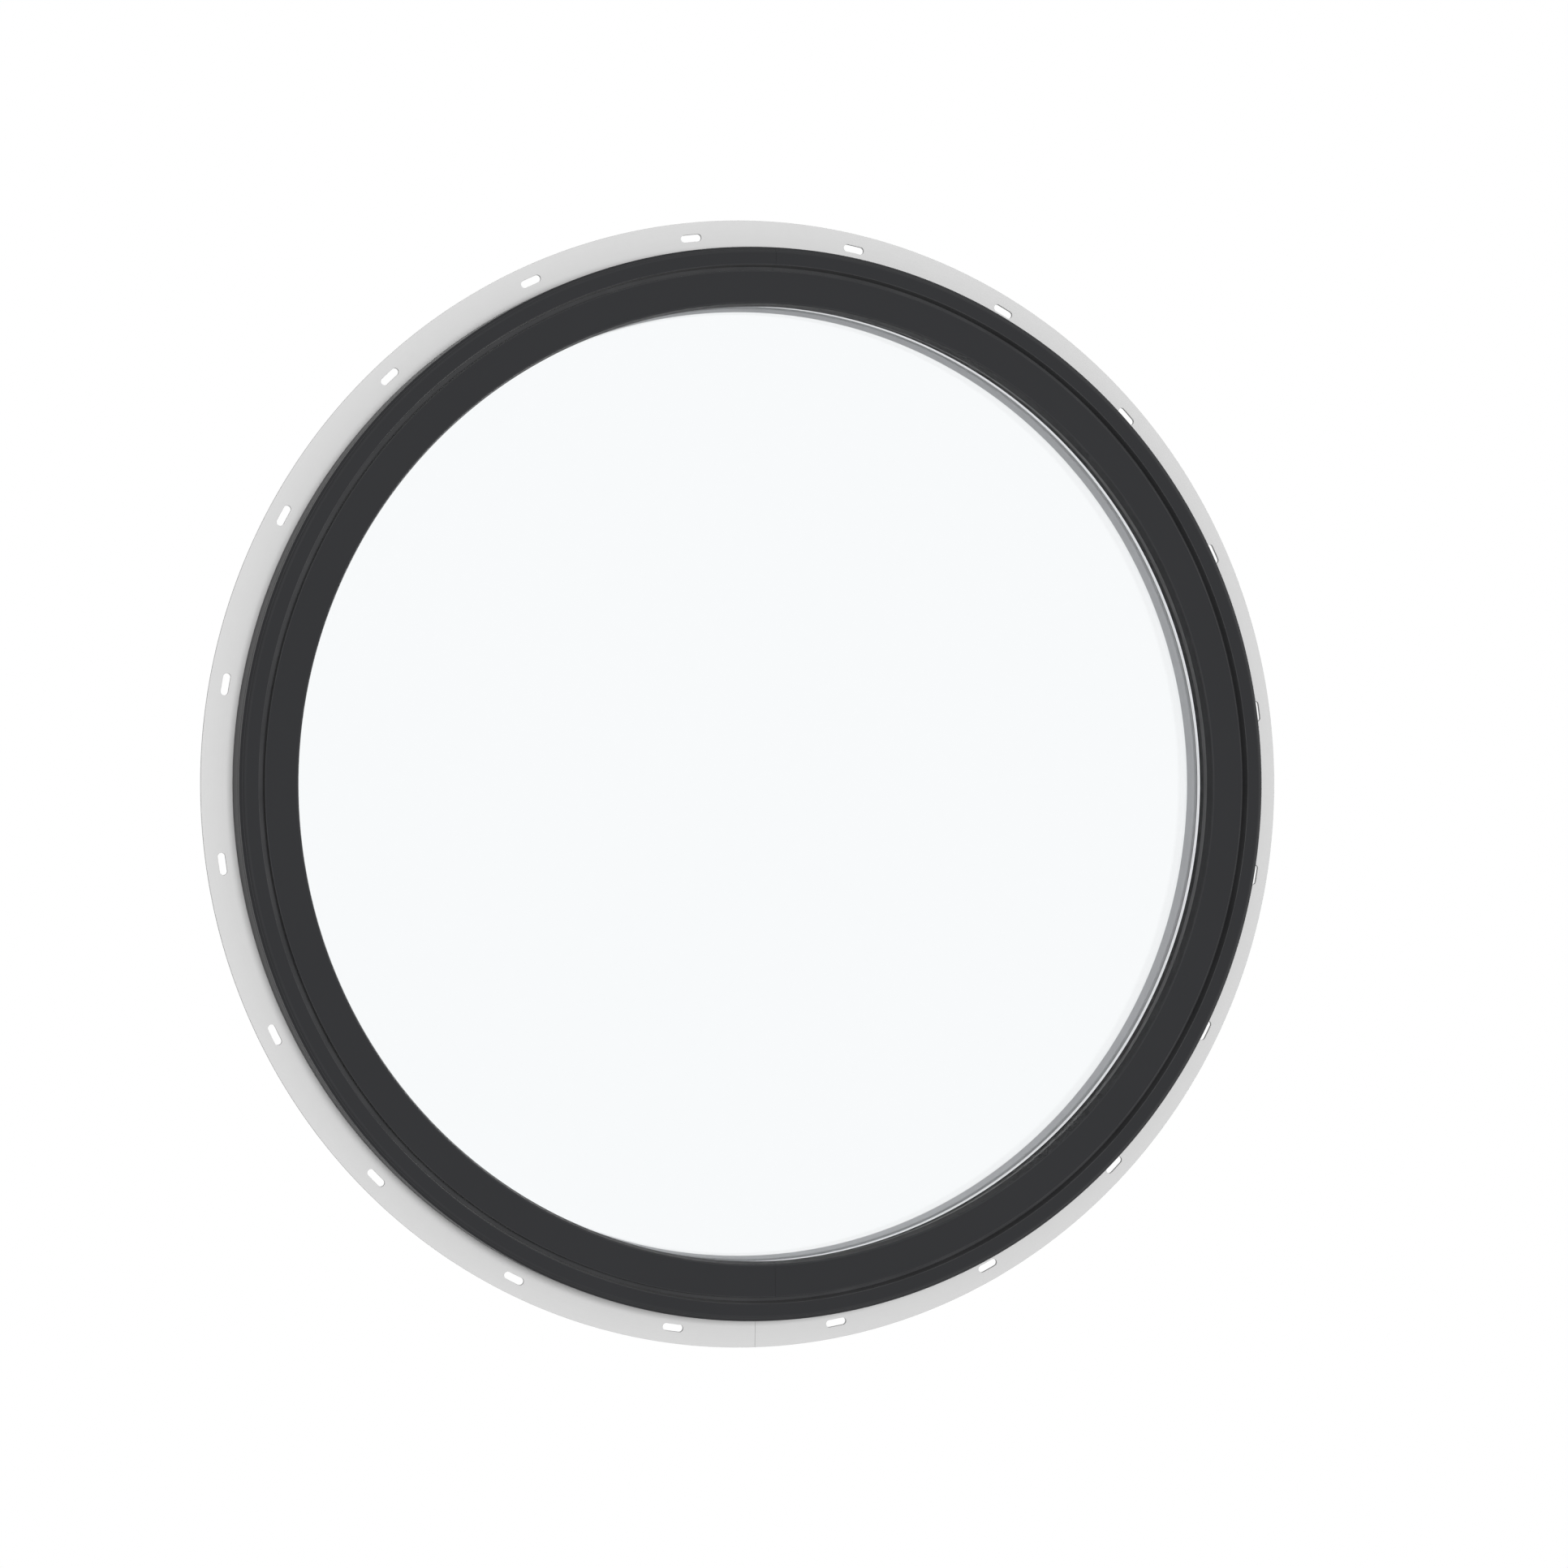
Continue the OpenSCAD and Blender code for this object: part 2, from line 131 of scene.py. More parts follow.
def edge_strength(outline):
    """How sharp the outline is at each point: 0.5 mm divided by the radius that it turns outwards
    on, at most 1. The radius is the mean length of the two sides that meet divided by the angle.

    A point where a round meets a flat longer than 1 mm counts as flat, or the whole flat would take the
    paler edge colour, which is partly wear and partly painted highlight.
    """
    out = outline_normals(outline)
    last = np.roll(out, 1, 0)
    turn = np.arcsin(np.clip(last[:, 0] * out[:, 1] - last[:, 1] * out[:, 0], -1, 1))
    after = np.linalg.norm(np.roll(outline, -1, 0) - outline, axis=1)
    before = np.roll(after, 1)
    return np.clip(0.5 * turn * 2 / (before + after), 0, 1) * (np.maximum(before, after) < 1)


def ring(outline, joint=None, columns=COLUMNS, painted_light=0):
    """Grid of the ring: point (i, j) is outline point i turned to angle j.

    joint is the angle in degrees where the ends meet; without it the ring is closed. The last
    argument, from 0 to 1 at each outline point, paints the coat paler there for another reason than
    an edge: painted light that lifts the shade in a recess.
    """
    half_gap = 0 if joint is None else JOINT_GAP / 2 / FRAME_R
    start = math.radians(joint or 0)
    angles = np.linspace(start + half_gap, start + 2 * np.pi - half_gap, columns + 1)
    across = len(outline)
    per_row = columns if joint is None else columns + 1
    r, h = outline[:, :1], outline[:, 1:]
    points = on_ring(r, h, angles[None, :per_row]).reshape(-1, 3)
    i, j = np.meshgrid(np.arange(across), np.arange(columns), indexing="ij")
    next_i, next_j = (i + 1) % across, (j + 1) % per_row
    cells = np.stack([i * per_row + j, i * per_row + next_j,
                      next_i * per_row + next_j, next_i * per_row + j], -1)
    side = np.linalg.norm(np.roll(outline, -1, 0) - outline, axis=1)
    run = np.concatenate([[0], np.cumsum(side)])
    u, v = angles * outline[:, 0].mean(), run
    uv = np.stack([np.stack([u[j], v[i]], -1), np.stack([u[j + 1], v[i]], -1),
                   np.stack([u[j + 1], v[i + 1]], -1), np.stack([u[j], v[i + 1]], -1)], 2) / 1000
    return {
        "outline": outline, "angles": angles, "run": run, "per_row": per_row, "joint": joint,
        "points": points, "cells": cells, "uv": uv, "keep": np.ones(i.shape, bool),
        # The 'edge' attribute: where the coat is painted paler, on sharp edges (partly wear, partly
        # painted highlight) and where marked (painted light).
        "edge": np.repeat(np.maximum(edge_strength(outline), painted_light), per_row),
        "more_points": [], "more_edge": [], "more_faces": [], "more_uv": [],
        "count": len(points),
    }


test_ring = ring(rounded([[10, 0], [12, 0], [12, 2], [10, 2]]), columns=12)
print("a square ring of 12 columns has", len(test_ring["points"]), "points")

# %% [markdown]
# ## Punched slots
#
# A slot goes through two walls of the outline: in through one and out through the other. On each
# wall a block of grid cells is left out. Loops of points then lead from the block's edge to the
# slot's own outline, a straight-sided hole with two half-round ends, and a last small round turns
# into the hole, because a punched edge is never quite sharp. The two walls' last loops are
# joined by the slot's side wall.

# %% The slot cutter
def slot_outline(half_length, half_width, columns, rows):
    """Loop of 2 (columns + rows) points round a slot, matched to a block's edge.

    It starts at the block's corner of low angle and low row. Two half circles of radius half_width
    lie half_length - half_width each side of the middle, and straight sides join them.
    """
    straight = 4 if half_length > half_width else 0
    curved = columns + rows - straight
    reach = half_length - half_width
    end = np.linspace(-np.pi / 2, np.pi / 2, curved + 1)
    right = np.stack([reach + half_width * np.cos(end), half_width * np.sin(end)], 1)
    top = np.stack([np.linspace(reach, -reach, straight + 1),
                    np.full(straight + 1, half_width)], 1)[1:-1] if straight else right[:0]
    left = -right
    bottom = -top
    if not straight:
        right, left = right[:-1], left[:-1]
    loop = np.concatenate([right, top, left, bottom])
    middle_of_left = len(right) + len(top) + curved // 2
    return np.roll(loop, -middle_of_left - rows // 2, 0)


def add_loop(grid, points, edge):
    """Adds a loop of points and returns their numbers."""
    grid["more_points"].append(points)
    grid["more_edge"].append(np.full(len(points), edge))
    first = grid["count"]
    grid["count"] += len(points)
    return np.arange(first, grid["count"])


def add_band(grid, outer, inner, outer_uv, inner_uv):
    """Adds the band of faces between two loops of as many points."""
    grid["more_faces"].append(np.stack([outer, np.roll(outer, -1), np.roll(inner, -1), inner], 1))
    grid["more_uv"].append(np.stack([outer_uv, np.roll(outer_uv, -1, 0),
                                     np.roll(inner_uv, -1, 0), inner_uv], 1) / 1000)


def open_wall(grid, angle, radius, first_row, rows, columns, middle, half_length, half_width, lip):
    """Opens one wall for a slot and returns the numbers and UVs of its last loop.

    The wall is the grid rows first_row to first_row + rows, and the slot's middle lies at run
    length middle along the outline. A point (x, s) of the wall lies at angle + x / radius and at
    run length s, and is then pushed inwards by a depth.
    """
    outline, run, per_row = grid["outline"], grid["run"], grid["per_row"]
    closed = np.concatenate([outline, outline[:1]])
    out = outline_normals(outline)[first_row]
    turn = (angle - grid["angles"][0]) % (2 * np.pi) + grid["angles"][0]
    step = grid["angles"][1] - grid["angles"][0]
    first_col = int(round((turn - grid["angles"][0]) / step - columns / 2))
    grid["keep"][first_row:first_row + rows, first_col:first_col + columns] = False

    r0, r1, c0, c1 = first_row, first_row + rows, first_col, first_col + columns
    row_of = np.concatenate([np.full(columns, r0), np.arange(r0, r1),
                             np.full(columns, r1), np.arange(r1, r0, -1)])
    col_of = np.concatenate([np.arange(c0, c1), np.full(rows, c1),
                             np.arange(c1, c0, -1), np.full(rows, c0)])
    loop = (row_of % len(outline)) * per_row + col_of % per_row
    mean_r = outline[:, 0].mean()
    block = np.stack([(grid["angles"][col_of] - turn) * radius, run[row_of] - middle], 1)

    def place(flat, depth):
        at = turn + flat[:, 0] / radius
        r = np.interp(flat[:, 1] + middle, run, closed[:, 0]) - depth * out[0]
        h = np.interp(flat[:, 1] + middle, run, closed[:, 1]) - depth * out[1]
        return on_ring(r, h, at)

    def uv_of(flat, depth):
        return np.stack([turn * mean_r + flat[:, 0], flat[:, 1] + middle + depth], 1)

    last, last_uv = loop, uv_of(block, 0)
    mouth = slot_outline(half_length + lip, half_width + lip, columns, rows)
    for share in (0.45, 0.8, 1.0):
        flat = block + (mouth - block) * share
        found = add_loop(grid, place(flat, 0), 0.0)
        add_band(grid, last, found, last_uv, uv_of(flat, 0))
        last, last_uv = found, uv_of(flat, 0)
    for t in np.radians([30, 60, 90]):
        grown = lip * (1 - np.sin(t))
        depth = lip * (1 - np.cos(t))
        flat = slot_outline(half_length + grown, half_width + grown, columns, rows)
        # The lip's loops take 0.6 of the paler edge colour: partly wear, partly painted highlight.
        found = add_loop(grid, place(flat, depth), 0.6)
        add_band(grid, last, found, last_uv, uv_of(flat, depth))
        last, last_uv = found, uv_of(flat, depth)
    return last, last_uv


def row_at(grid, r, h):
    """Number of the outline point nearest to (r, h)."""
    return int(np.argmin(np.linalg.norm(grid["outline"] - [r, h], axis=1)))


def punch(grid, angle, near, far, rows, columns, length, width, lip):
    """Cuts a slot through two walls at an angle in degrees.

    near and far are ((r, h) of the wall's first grid row, (r, h) of the slot's middle) for the wall
    that the slot enters and the wall that it leaves.
    """
    radius = near[1][0]
    loops = []
    for first, middle in (near, far):
        row = row_at(grid, *first)
        at = grid["run"][row] + math.dist(first, middle)
        loops.append(open_wall(grid, math.radians(angle), radius, row, rows, columns, at,
                               length / 2, width / 2, lip))
    (a, a_uv), (b, b_uv) = loops
    partner = (2 * columns + rows - np.arange(len(a))) % len(a)
    add_band(grid, a, b[partner], a_uv, b_uv[partner])


print("a slot outline has", len(slot_outline(9.5, 3.2, 10, 6)), "points")

# %% [markdown]
# ## From grid to mesh
#
# Blender shades a smooth mesh with normals averaged over the faces at each vertex. On a
# profile with broad flats and tiny rounds that average makes the flats look pillowed. So the
# normals are worked out here: at each corner of each face, the neighbouring faces within 40
# degrees are added up in proportion to their area. The flats stay flat, the rounds stay round and the
# hard corners stay hard.

# %% Grid to mesh
SMOOTH_WITHIN = math.cos(math.radians(40))


def corner_normals(points, faces):
    """Normal of each corner of each four-sided face: the sum of area times normal over the faces that
    share the vertex and lie within the smoothing angle, made a unit vector."""
    a, b, c, d = (points[faces[:, k]] for k in range(4))
    weighted = np.cross(c - a, d - b)
    unit = weighted / np.maximum(np.linalg.norm(weighted, axis=1), 1e-18)[:, None]
    vertex = faces.ravel()
    face = np.repeat(np.arange(len(faces)), 4)
    order = np.argsort(vertex, kind="stable")
    sorted_vertex, sorted_face = vertex[order], face[order]
    start = np.searchsorted(sorted_vertex, sorted_vertex)
    count = np.searchsorted(sorted_vertex, sorted_vertex, side="right") - start
    rank = np.arange(len(order)) - start
    total = weighted[sorted_face].copy()
    for shift in range(1, count.max()):
        other = sorted_face[start + (rank + shift) % count]
        near = (unit[sorted_face] * unit[other]).sum(1) > SMOOTH_WITHIN
        use = (shift < count) & near
        total[use] += weighted[other[use]]
    total /= np.linalg.norm(total, axis=1)[:, None]
    normals = np.empty_like(total)
    normals[order] = total
    return normals


def make_piece(name, grid, finish, slot_name, *nodes):
    """Turns a ring grid into a mesh object that rides on the frame and stands for the nodes."""
    points = np.concatenate([grid["points"], *grid["more_points"]])
    faces = np.concatenate([grid["cells"][grid["keep"]], *grid["more_faces"]])
    uv = np.concatenate([grid["uv"][grid["keep"]], *grid["more_uv"]]).reshape(-1, 2)
    edge = np.concatenate([grid["edge"], *grid["more_edge"]])
    normals = corner_normals(points, faces)
    polygons = faces.tolist()
    if grid["joint"] is not None:
        across, per_row = len(grid["outline"]), grid["per_row"]
        first = np.arange(across) * per_row
        last = (first + per_row - 1)[::-1]
        polygons += [first.tolist(), last.tolist()]
        ends = grid["angles"][[0, -1]]
        along = np.stack([np.sin(ends), 0 * ends, -np.cos(ends)], 1) * [[1], [-1]]
        normals = np.concatenate([normals, np.repeat(along, across, 0)])
        flat = np.concatenate([grid["outline"], grid["outline"][::-1]]) / 1000
        uv = np.concatenate([uv, flat])
    mesh = bpy.data.meshes.new(name)
    mesh.from_pydata(points, [], polygons)
    mesh.uv_layers.new(name="UVMap").data.foreach_set("uv", uv.ravel())
    # The 'edge' attribute carries where the coat is painted paler: partly edge wear, partly painted
    # highlight and painted light.
    mesh.attributes.new("edge", "FLOAT", "POINT").data.foreach_set("value", edge)
    mesh.shade_smooth()
    mesh.normals_split_custom_set(normals)
    mesh.materials.append(finish)
    piece = bpy.data.objects.new(name, mesh)
    bpy.context.scene.collection.objects.link(piece)
    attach(piece, "root")
    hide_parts(*nodes)
    triangles = sum(len(p) - 2 for p in polygons)
    low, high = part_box(nodes[0])
    off = max(np.abs(points.min(0) - low).max(), np.abs(points.max(0) - high).max()) * 1000
    print(f"{name}: {triangles} triangles, its box is within {off:.2f} mm of the solid's")
    return piece


# %% [markdown]
# ## Finishes
#
# Each finish is one Principled shader. Values that are the same everywhere go straight on its
# sockets. What varies over the surface, such as the grain, the sheen and the tiny waviness of a
# coat, comes from noise read in the object's own coordinates, in metres. The helpers below keep
# each finish to a few lines.

# %% Helpers for node materials
def new_finish(name, colour, **sockets):
    """A new material with one shader, whose constant sockets are set."""
    material = bpy.data.materials.new(name)
    material.use_nodes = True
    shader = material.node_tree.nodes["Principled BSDF"]
    shader.inputs["Base Color"].default_value = (*colour, 1)
    for socket, value in sockets.items():
        shader.inputs[socket.replace("_", " ")].default_value = value
    return material


def add_node(tree, kind, inputs=(), **settings):
    """Adds a node, sets its properties and fills its inputs with numbers or other nodes' outputs."""
    node = tree.nodes.new("ShaderNode" + kind)
    for key, value in settings.items():
        setattr(node, key, value)
    for key, value in dict(inputs).items():
        if isinstance(value, bpy.types.NodeSocket):
            tree.links.new(value, node.inputs[key])
        else:
            node.inputs[key].default_value = value
    return node


def where(tree, source="Object", stretch=(1, 1, 1)):
    """Coordinates to read a pattern at, in metres: the object's own, or the UV map."""
    base = add_node(tree, "TexCoord").outputs[source]
    return add_node(tree, "Mapping", {0: base, 3: stretch}).outputs[0]


def noise(tree, at, per_metre, detail=2.0, rough=0.5):
    """Noise of 0 to 1 with about per_metre lumps to the metre."""
    found = add_node(tree, "TexNoise", {"Vector": at, "Scale": per_metre, "Detail": detail,
                                        "Roughness": rough})
    return found.outputs[0]


def scaled(tree, value, low, high, to_low, to_high):
    """The value stretched from low..high to to_low..to_high, and held inside that."""
    return add_node(tree, "MapRange", {0: value, 1: low, 2: high, 3: to_low, 4: to_high}).outputs[0]


def mixed(tree, share, first, second):
    """Colour between two colours."""
    node = add_node(tree, "Mix", {0: share}, data_type="RGBA")
    for socket, value in ((6, first), (7, second)):
        if isinstance(value, bpy.types.NodeSocket):
            tree.links.new(value, node.inputs[socket])
        else:
            node.inputs[socket].default_value = (*value, 1)
    return node.outputs[2]


def sum_of(tree, *terms):
    """Sum of (value, factor) pairs."""
    total = None
    for value, factor in terms:
        inputs = {0: value, 1: factor, 2: total if total is not None else 0.0}
        total = add_node(tree, "Math", inputs, operation="MULTIPLY_ADD").outputs[0]
    return total


def finish_with(material, colour=None, roughness=None, height=None, relief=0.0):
    """Connects the varying parts of a finish to its shader. height is in units of relief metres."""
    tree = material.node_tree
    shader = tree.nodes["Principled BSDF"]
    if colour is not None:
        tree.links.new(colour, shader.inputs["Base Color"])
    if roughness is not None:
        tree.links.new(roughness, shader.inputs["Roughness"])
    if height is not None:
        bump = add_node(tree, "Bump", {"Strength": 1.0, "Distance": relief, "Height": height})
        tree.links.new(bump.outputs[0], shader.inputs["Normal"])
    return material


# %% [markdown]
# ### Coats on the metal
#
# Both rolled profiles are powder coated. A powder coat is a baked plastic skin about 0.07 mm
# thick: it flows into a faint orange peel of lumps about 2 mm wide, and its gloss drifts a little
# over the surface. Where the metal turns a sharp corner the coat is painted paler and smoother:
# partly the real thinning of a coat on an edge, partly a painted highlight along the edge. The
# wall and floor of the narrow groove round the bead are painted paler and smoother too, as painted
# light that lifts the shade falling in the groove.
#
# The charcoal coat is a dark grey of low gloss. Its index of refraction is 1.28, which is less than a
# real coat's 1.5 or so. That isn't physics but a choice: it weakens what the coat reflects. It was
# meant to quieten the grain on the bead's inner wall, which it hardly does. A slight haze adds back
# what a rough coat shows at a low angle.

# %% Powder coats
def powder_coat(name, colour, wear_and_light_colour, sheen_low, sheen_high, peel, ior, haze=0.0):
    """A baked coat: drifting colour, orange peel, and a paler colour on edges (partly wear, partly
    painted highlight) and in the groove (painted light).

    ior is the coat's index of refraction, which sets how much it reflects. haze is how strongly it
    lights up where it is seen along the surface. sheen_low and sheen_high are its roughness where it
    is glossiest and where it is most matt, and peel is the height of its lumps in metres.
    """
    material = new_finish(name, colour, IOR=ior, Sheen_Weight=haze, Sheen_Roughness=0.3)
    tree = material.node_tree
    at = where(tree)
    drift = noise(tree, at, 9, 3)
    speck = noise(tree, at, 2600, 0)
    # Where the 'edge' attribute is set the coat turns paler and smoother: on edges partly wear and
    # partly a painted highlight, in the groove painted light.
    edge = add_node(tree, "Attribute", attribute_name="edge").outputs["Fac"]
    wear_and_painted_light = add_node(tree, "Math", {0: edge, 1: scaled(tree, noise(tree, at, 20, 3, 0.6),
                                                        0.35, 0.7, 0.6, 1)},
                      operation="MULTIPLY").outputs[0]
    paler = tuple(c * 1.06 + 0.0002 for c in colour)
    tone = mixed(tree, scaled(tree, sum_of(tree, (drift, 0.6), (speck, 0.4)), 0.3, 0.7, 0, 1),
                 colour, paler)
    tone = mixed(tree, wear_and_painted_light, tone, wear_and_light_colour)
    rough = sum_of(tree, (scaled(tree, drift, 0.3, 0.7, sheen_low, sheen_high), 1.0),
                   (scaled(tree, speck, 0.3, 0.7, -0.015, 0.015), 1.0), (wear_and_painted_light, -0.05))
    height = sum_of(tree, (noise(tree, at, 420, 1), 1.0), (speck, 0.1))
    return finish_with(material, tone, rough, height, peel)


# The second colour is the paler one painted on edges and in the groove: partly wear, partly painted
# highlight and painted light.
charcoal_coat = powder_coat("charcoal_powder_coat", (0.0160, 0.0164, 0.0177),
                            (0.045, 0.0455, 0.047), 0.44, 0.47, 0.000006, 1.28, haze=0.05)
white_coat = powder_coat("white_powder_coat", (0.82, 0.825, 0.845),
                         (0.85, 0.85, 0.86), 0.34, 0.38, 0.00001, 1.42)
print("coats:", charcoal_coat.name, white_coat.name)

# %% [markdown]
# ### Plastics, rubber and tape
#
# The nailing fin is extruded in pale grey vinyl, which leaves fine straight lines along its
# length; the noise for them is read in the UV map and stretched along u. The gasket is a matt black
# rubber, and the thermal strips are a glass-filled plastic with a dry, fibrous sheen.

# %% Extruded and moulded plastics
def extruded(name, colour, rough_low, rough_high, line_width, relief, tone=0.06, **sockets):
    """A drawn plastic or rubber: lines along the ring, over a soft mottle."""
    material = new_finish(name, colour, **sockets)
    tree = material.node_tree
    along = where(tree, "UV", (0.02, 1, 1))
    lines = noise(tree, along, 1 / line_width, 3, 0.6)
    mottle = noise(tree, where(tree), 120, 4, 0.6)
    paler = tuple(min(1.0, c * (1 + tone) + 0.001) for c in colour)
    darker = tuple(c * (1 - tone) for c in colour)
    share = scaled(tree, sum_of(tree, (lines, 0.5), (mottle, 0.5)), 0.3, 0.7, 0, 1)
    rough = scaled(tree, sum_of(tree, (mottle, 0.7), (lines, 0.3)), 0.3, 0.7, rough_low, rough_high)
    height = sum_of(tree, (lines, 1.0), (noise(tree, where(tree), 900, 2), 0.5))
    return finish_with(material, mixed(tree, share, darker, paler), rough, height, relief)


fin_vinyl = extruded("pale_grey_vinyl", (0.41, 0.41, 0.41), 0.42, 0.55, 0.0011, 0.00003, 0.015, IOR=1.52)
gasket_rubber = extruded("black_rubber", (0.012, 0.012, 0.013), 0.55, 0.72, 0.0007, 0.00004, 0.2)
strip_plastic = extruded("glass_filled_strip", (0.02, 0.02, 0.022), 0.5, 0.65, 0.0006, 0.00003, 0.2)
foam_tape = extruded("glazing_foam", (0.86, 0.86, 0.86), 0.8, 0.95, 0.0015, 0.00012, 0.1)
block_rubber = extruded("block_rubber", (0.06, 0.06, 0.065), 0.6, 0.75, 0.002, 0.00006, 0.15)
print("plastics:", [m.name for m in (fin_vinyl, gasket_rubber, strip_plastic, foam_tape, block_rubber)])

# %% [markdown]
# ### Bare metals
#
# The spacer bar between the panes is roll-formed from thin bright strip, with fine rolling lines
# along it. The joint keys are mill-finish aluminium and the screws plated steel.

# %% Bare metals
def rolled_metal(name, colour, rough_low, rough_high, source="UV", line_width=0.0004):
    """Bright metal with rolling lines and a drifting polish."""
    material = new_finish(name, colour, Metallic=1.0)
    tree = material.node_tree
    along = where(tree, source, (0.03, 1, 1))
    lines = noise(tree, along, 1 / line_width, 2, 0.6)
    cloud = noise(tree, where(tree), 70, 3)
    dull = tuple(c * 0.9 for c in colour)
    rough = scaled(tree, sum_of(tree, (lines, 0.5), (cloud, 0.5)), 0.3, 0.7, rough_low, rough_high)
    return finish_with(material, mixed(tree, cloud, dull, colour), rough, lines, 0.0000012)


spacer_metal = rolled_metal("spacer_strip", (0.95, 0.95, 0.965), 0.1, 0.17)
mill_aluminium = rolled_metal("mill_aluminium", (0.78, 0.78, 0.79), 0.35, 0.5, "Object")
screw_steel = rolled_metal("plated_steel", (0.62, 0.63, 0.65), 0.25, 0.38, "Object")

# %% [markdown]
# ### Glass and seals
#
# Float glass is clear with a faint cool tint that comes from iron. Its surface isn't perfectly
# flat: rollers and heat leave a very long, very shallow wave, which is a soft bump here. The
# unit's seals are black butyl and a dark two-part sealant, and the spacer holds drying beads.

# %% Glass and seals
def clear_glass_finish():
    """Clear glass: light passes through it, a little cooler, past a very shallow wave."""
    material = new_finish("clear_glass", (0.978, 0.987, 0.992), IOR=1.5, Transmission_Weight=1.0)
    tree = material.node_tree
    at = where(tree)
    haze = scaled(tree, noise(tree, at, 14, 3), 0.4, 0.8, 0.0, 0.012)
    tone = mixed(tree, noise(tree, at, 3, 1), (0.980, 0.988, 0.993), (0.976, 0.986, 0.991))
    return finish_with(material, tone, haze, noise(tree, at, 4, 0), 0.00002)


def lumpy(name, colour, per_metre, relief, rough_low, rough_high, spread=0.25):
    """A poured or packed filling: mottled, with lumps of one size."""
    material = new_finish(name, colour)
    tree = material.node_tree
    at = where(tree)
    cloud = noise(tree, at, per_metre / 4, 3)
    cells = add_node(tree, "TexVoronoi", {"Vector": at, "Scale": per_metre}).outputs[0]
    tone = mixed(tree, cloud, tuple(c * (1 - spread) for c in colour),
                 tuple(c * (1 + spread) for c in colour))
    rough = scaled(tree, cloud, 0.3, 0.7, rough_low, rough_high)
    return finish_with(material, tone, rough, cells, relief)


clear_glass = clear_glass_finish()
butyl = lumpy("black_butyl", (0.015, 0.015, 0.016), 400, 0.00005, 0.35, 0.5)
edge_sealant = lumpy("edge_sealant", (0.05, 0.05, 0.055), 300, 0.0001, 0.4, 0.6)
desiccant_beads = lumpy("drying_beads", (0.55, 0.42, 0.28), 900, 0.0004, 0.7, 0.9, 0.15)
print("glass and seals:", clear_glass.name, butyl.name, edge_sealant.name, desiccant_beads.name)

# %% [markdown]
# ## The weather-side profile
#
# This is the dark ring that one sees first: an outer wall that leans in slightly, a thin groove
# round it, a moulded shoulder with a bevel and a roll, a flat face, and a reveal that drops to
# the bead. The same extrusion goes on inside to hold the fin, the glass and the thermal strips,
# and all of it is carried round, so that the piece is a true hollow profile. Water that gets
# past the bead leaves through two slots in the outer wall and two in the pocket wall. The wall and
# the floor of the groove round the bead are marked to be painted paler: painted light that lifts
# the shade in the groove.

# %% Weather-side ring
FRONT = 37.0
DRAIN_H = 13.0
KEY_SPAN = 14.26
KEY_MID_H = 12.85
GROOVE_R = 456.6
GROOVE_H = (27, FRONT - 0.4)
# How strongly the groove round the bead is painted paler: painted light that lifts its shade.
GROOVE_PAINTED_LIGHT = 0.75

roll = arc([467, FRONT - 2.8], 2.8, 16.6, 90, 8)
weather_outline = rounded([
    [473, -6, 0.2],
    [473, 0, 0.15], [472.4, 0.2], [469.6, 0.2], [469.6, -0.4], [467.8, -0.4],
    [467.8, 3.4], [469.6, 3.4], [469.6, 2.8], [472.4, 2.8], [473, 3, 0.15],
    *[[473 - 0.5 * (h - 3) / 29.75, h] for h in (7, 10, 13, 16, 19)],
    [472.61, 25.9, 0.1], [472, 26.5, 0.1], [472.6, 27.1, 0.1],
    [472.5, 32.75, 0.5], [470.2, 35, 0.3], [roll[0][0], 35.0],
    *roll[1:-1], [467, FRONT],
    [456.5, FRONT, 0.5], [455.5, 27.5, 0.3], [440, 27.5, 0.3], [440, 25.7, 0.2], [442, 25.7],
    *[[442, h] for h in (23, 19, 16, 13, 10, 7)],
    [442, -6, 0.2],
    [443.8, -6], [443.8, -2.6], [446.2, -2.6], [446.2, -6], [448, -6], [448, -0.8], [443.8, -0.8],
    *[[443.8, h] for h in (7, 10, 13, 16, 19, 23)],
    [443.8, 25.7], [457.3, 25.7], [458.3, 35.2], [466.1, 35.2], [470.7, 31.85],
    *[[471.2 - 0.5 * (h - 5.2) / 26.65, h] for h in (19, 16, 13, 10, 7)],
    [471.2, 5.2], [466, 5.2], [466, -6],
    [468.8, -6], [468.8, -2.6], [471.2, -2.6], [471.2, -6],
])
outline_r, outline_h = weather_outline.T
# Outline points on the wall and floor of the groove round the bead, which get the painted light.
in_groove = (outline_r < GROOVE_R) & (GROOVE_H[0] < outline_h) & (outline_h < GROOVE_H[1])
weather = ring(weather_outline, joint=90, painted_light=GROOVE_PAINTED_LIGHT * in_groove)
print("weather-side outline:", len(weather_outline), "points")
for side in (-6, 6):
    punch(weather, 270 + side, ((472.93, 7), (472.83, DRAIN_H)), ((470.94, 19), (471.05, DRAIN_H)),
          4, 10, 22, 5, 0.2)
for side in (-12, 12):
    punch(weather, 270 + side, ((442, 19), (442, DRAIN_H)), ((443.8, 7), (443.8, DRAIN_H)),
          4, 10, 22, 5, 0.1)
for share in (-0.36, -0.14, 0.14, 0.36):
    punch(weather, 90 + share * KEY_SPAN, ((442, 19), (442, KEY_MID_H)),
          ((443.8, 7), (443.8, KEY_MID_H)), 4, 4, 4.4, 4.4, 0.05)
make_piece("weather_profile", weather, charcoal_coat, "charcoal_coat", "exterior_frame")

# %% [markdown]
# ## The glazing bead
#
# The bead is the dark ring inside the reveal. It snaps into the pocket and presses the gasket on the
# glass. Its face falls slightly towards the glass, and its nose curls back in an S so that the
# dark gap at the glass stays narrow. Its ends meet at the lowest point.

